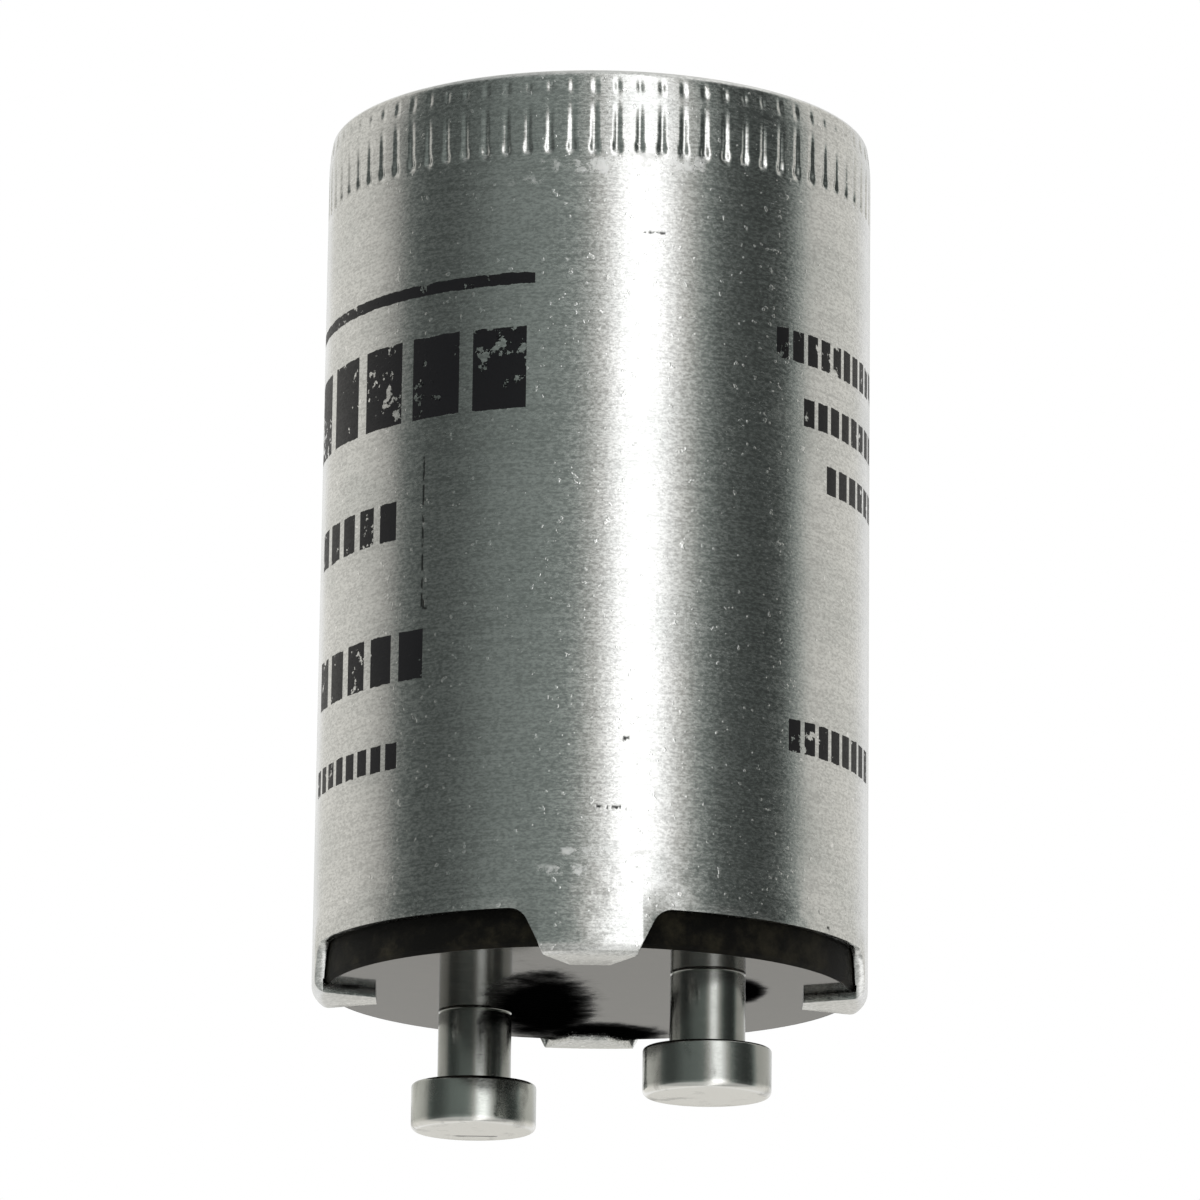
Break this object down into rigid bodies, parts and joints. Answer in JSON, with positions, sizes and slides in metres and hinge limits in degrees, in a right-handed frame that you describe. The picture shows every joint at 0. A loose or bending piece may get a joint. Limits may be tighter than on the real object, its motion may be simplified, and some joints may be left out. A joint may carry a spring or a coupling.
{
  "type": "fluorescent starter",
  "caption": "Glow starter for a fluorescent tube: drawn aluminium can with a fluted end, folded tabs, a dark base disc and two headed contact pins.",
  "frame": {"origin": "midway between the two contact pins, at the level of their end faces, on the can's axis", "axes": "+Z from the pins' ends along the can's axis to its closed end; the pins stand apart along X"},
  "size_m": [0.0216, 0.0216, 0.0388],
  "materials": {
    "can_aluminium": "drawn sheet with fine grain round the can, light scuffs",
    "base_phenolic": "polished dark phenolic board with a matt cut edge",
    "liner_paper": "plain grey insulating paper",
    "pin_metal": "turned, with fine rings and light wear",
    "tag_brass": "stamped sheet",
    "solder": "dull cooled solder",
    "lead_wire": "tinned wire",
    "bulb_glass": "clear blown glass",
    "electrode_nickel": "plain nickel rod",
    "bimetal": "rolled strip",
    "capacitor_dip": "dipped coating"
  },
  "bodies": {
    "root": {"can": "can_aluminium", "base_disc": "base_phenolic", "insulating_liner": "liner_paper", "contact_pin_left": "pin_metal", "contact_pin_right": "pin_metal", "terminal_tag_left": "tag_brass", "terminal_tag_right": "tag_brass", "solder_joint_left": "solder", "solder_joint_right": "solder", "lamp_lead_left": "lead_wire", "lamp_lead_right": "lead_wire", "capacitor_lead_left": "lead_wire", "capacitor_lead_right": "lead_wire", "glass_bulb": "bulb_glass", "fixed_electrode": "electrode_nickel", "moving_electrode_post": "electrode_nickel", "bimetal_strip": "bimetal", "capacitor": "capacitor_dip"}
  },
  "joints": []
}
